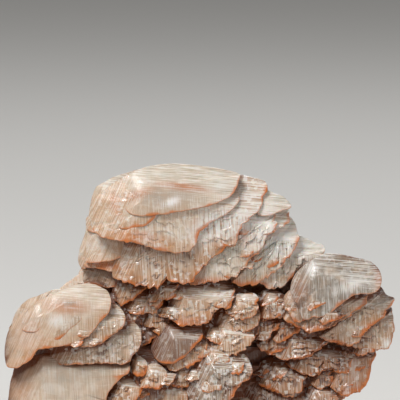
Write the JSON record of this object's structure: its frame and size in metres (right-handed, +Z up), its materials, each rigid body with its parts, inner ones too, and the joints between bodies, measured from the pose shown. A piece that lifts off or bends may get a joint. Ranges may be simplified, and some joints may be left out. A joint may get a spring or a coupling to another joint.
{
  "type": "calcite crystal cluster",
  "caption": "Mound of overlapping, nearly parallel lens-shaped calcite crystals with stepped rims, cut off flat below to stand on a surface.",
  "frame": {"origin": "middle of the bounding box at the flat base on which the cluster stands", "axes": "+Z up; +X along the width of the cluster; the crystals of the front face -Y, leaning back about 8 degrees"},
  "size_m": [0.11, 0.0648, 0.0869],
  "materials": {
    "calcite": "translucent cream calcite with a silky, finely striated lustre, orange-brown at the thin rims and in the hollows"
  },
  "bodies": {
    "root": {"calcite_cluster": "calcite"}
  },
  "joints": []
}
